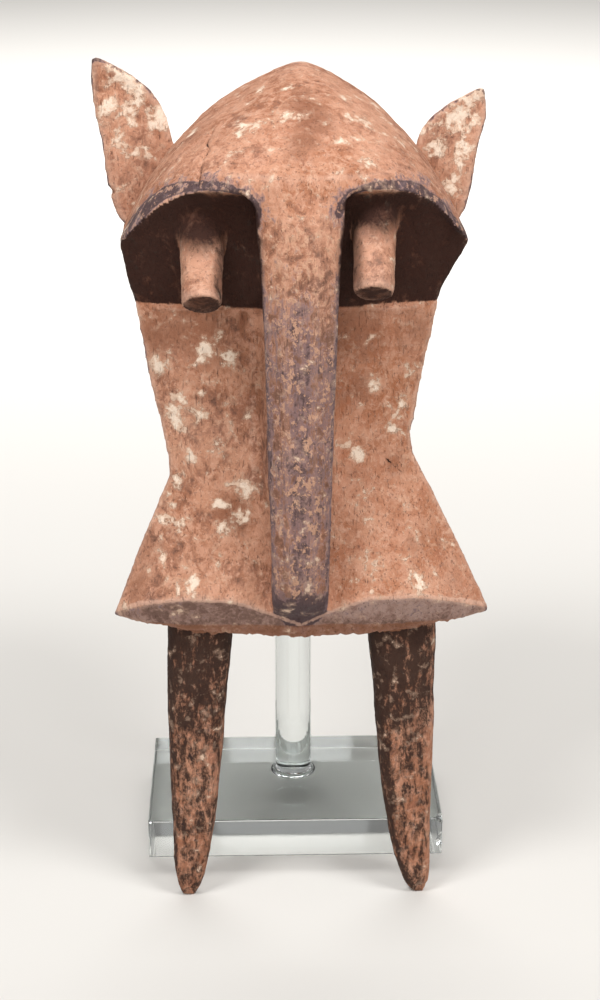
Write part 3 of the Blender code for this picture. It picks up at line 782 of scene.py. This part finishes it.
class MASK_OT_stand(bpy.types.Operator):
    """Finish the clear stand: a chipped block with sawn ends, a rod and its ring of dried cement"""

    bl_idname = "mask.stand"
    bl_label = "Finish the stand"

    def execute(self, context):
        sizes = context.scene.mask_stand
        clear = acrylic_material("cast acrylic, polished", sizes, False)
        sawn = acrylic_material("cast acrylic, sawn edge", sizes, True)
        block = merged_copy("stand_block", "acrylic_block")
        low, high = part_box("stand_block")

        # Two chips at the block's near right corner and one at its near left
        right, near, up = high.x / MM, low.y / MM, high.z / MM
        chip(block, (right, near + 2, up), (5, 6, 4), (0.3, 0.2, 0))
        chip(block, (right - 1, near, up - 16), (3, 3, 6), (0.1, 0.4, 0))
        chip(block, (-right, near, up), (3, 3, 3), (0.1, 0.4, 0.3))
        block.data.materials.append(clear)
        block.data.materials.append(sawn)
        for face in block.data.polygons:
            face.material_index = 1 if abs(face.normal.x) > 0.9 else 0
        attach(block, "root")
        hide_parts("stand_block")

        rod = frame["nodes"]["stand_rod"]
        for slot in rod.material_slots:
            slot.material = clear

        foot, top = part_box("stand_rod")
        radius = (top.x - foot.x) / 2 + RING_GAP
        middle = ((foot.x + top.x) / 2, (foot.y + top.y) / 2)
        deselect()
        bpy.ops.mesh.primitive_circle_add(
            vertices=96, radius=radius, location=(*middle, high.z + RING_LIFT))
        ring = context.object
        ring.name = ring.data.name = "cement_fillet"

        # Draw its section out ring by ring, then close it and make its outer edge a little uneven
        width = sizes.fillet
        bpy.ops.object.mode_set(mode="EDIT")
        bpy.ops.mesh.select_all(action="SELECT")
        reach, rise = 0.0, 0.0
        for out, up in RING_SECTION:
            bpy.ops.mesh.extrude_region_move(TRANSFORM_OT_translate={"value": (0, 0, (up - rise) * width)})
            factor = (radius + out * width) / (radius + reach * width)
            bpy.ops.transform.resize(value=(factor, factor, 1), center_override=(*middle, 0))
            reach, rise = out, up
        bpy.ops.object.mode_set(mode="OBJECT")
        bm = bmesh.new()
        bm.from_mesh(ring.data)
        ends = [e for e in bm.edges if e.is_boundary]
        bmesh.ops.bridge_loops(bm, edges=ends)
        bmesh.ops.recalc_face_normals(bm, faces=bm.faces[:])
        for v in bm.verts:
            if v.co.z < width * 0.3:
                v.co.x *= 1 + 0.02 * noise.noise(Vector((v.co.x, v.co.y, 0)) * 300)
                v.co.y *= 1 + 0.02 * noise.noise(Vector((v.co.y, v.co.x, 1)) * 300)
        bm.to_mesh(ring.data)
        bm.free()
        ring.data.shade_smooth()
        settle(ring)
        ring.data.materials.clear()
        ring.data.materials.append(clear)
        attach(ring, "root")
        return {"FINISHED"}


class MASK_OT_studio(bpy.types.Operator):
    """Set the pale floor, the soft lights and the camera"""

    bl_idname = "mask.studio"
    bl_label = "Set the studio"

    def execute(self, context):
        sizes = context.scene.mask_studio
        deselect()
        bpy.ops.mesh.primitive_plane_add(size=FLOOR_SIZE, location=(0, 0, -FLOOR_GAP))
        floor = context.object
        floor.name = "studio_floor"
        pale, _, shader = new_material("matt painted floor")
        shader.inputs["Base Color"].default_value = linear(sizes.floor)
        shader.inputs["Roughness"].default_value = 0.9
        floor.data.materials.append(pale)

        middle = Vector((0, -0.05, 0.33))
        for name, power, size, place, aim in (
            ("key_left", sizes.key, 0.45, (-0.6, -0.72, 1.62), middle),
            ("key_right", sizes.key * 0.95, 0.45, (0.64, -0.68, 1.6), middle),
            ("fill", sizes.fill, 1.0, (0.05, -1.6, 0.8), middle),
            ("floor_behind", sizes.key * 16, 3.0, (0, 2.4, 2.9), Vector((0, 4.6, 0))),
            ("floor_before", sizes.key * 0.12, 1.2, (0, -1.3, 1.3), Vector((0, -1.6, 0))),
        ):
            data = bpy.data.lights.new(name, "AREA")
            data.energy = power
            data.size = size
            light = bpy.data.objects.new(name, data)
            context.scene.collection.objects.link(light)
            light.location = place
            light.rotation_euler = (aim - light.location).to_track_quat("-Z", "Y").to_euler()

        world = context.scene.world or bpy.data.worlds.new("studio")
        context.scene.world = world
        world.use_nodes = True
        surround = world.node_tree.nodes["Background"]
        surround.inputs["Color"].default_value = (1.0, 0.98, 0.96, 1)
        surround.inputs["Strength"].default_value = sizes.sky

        data = bpy.data.cameras.new("camera")
        data.lens = CAMERA_LENS
        data.sensor_width = CAMERA_SENSOR
        data.clip_end = 60
        camera = bpy.data.objects.new("camera", data)
        context.scene.collection.objects.link(camera)
        camera.location = CAMERA_PLACE
        camera.rotation_euler = Vector(CAMERA_LOOK).to_track_quat("-Z", "Y").to_euler()
        context.scene.camera = camera
        context.scene.view_settings.view_transform = "Standard"
        return {"FINISHED"}


class MASK_PT_panel(bpy.types.Panel):
    """The mask's sizes, colours and steps"""

    bl_label = "Elephant mask"
    bl_idname = "MASK_PT_panel"
    bl_space_type = "VIEW_3D"
    bl_region_type = "UI"
    bl_category = "Mask"

    def draw(self, context):
        scene = context.scene
        for group, step in (
            (scene.mask_wood, MASK_OT_carve),
            (scene.mask_stand, MASK_OT_stand),
            (scene.mask_studio, MASK_OT_studio),
        ):
            box = self.layout.box()
            for name in group.__annotations__:
                box.prop(group, name)
            box.operator(step.bl_idname)


CLASSES = (WoodSizes, StandSizes, StudioSizes,
           MASK_OT_carve, MASK_OT_stand, MASK_OT_studio, MASK_PT_panel)


def register():
    for cls in CLASSES:
        bpy.utils.register_class(cls)
    bpy.types.Scene.mask_wood = bpy.props.PointerProperty(type=WoodSizes)
    bpy.types.Scene.mask_stand = bpy.props.PointerProperty(type=StandSizes)
    bpy.types.Scene.mask_studio = bpy.props.PointerProperty(type=StudioSizes)


def unregister():
    del bpy.types.Scene.mask_studio
    del bpy.types.Scene.mask_stand
    del bpy.types.Scene.mask_wood
    for cls in reversed(CLASSES):
        bpy.utils.unregister_class(cls)


def main():
    register()
    bpy.ops.mask.carve()
    bpy.ops.mask.stand()
    bpy.ops.mask.studio()


if __name__ == "__main__":
    main()
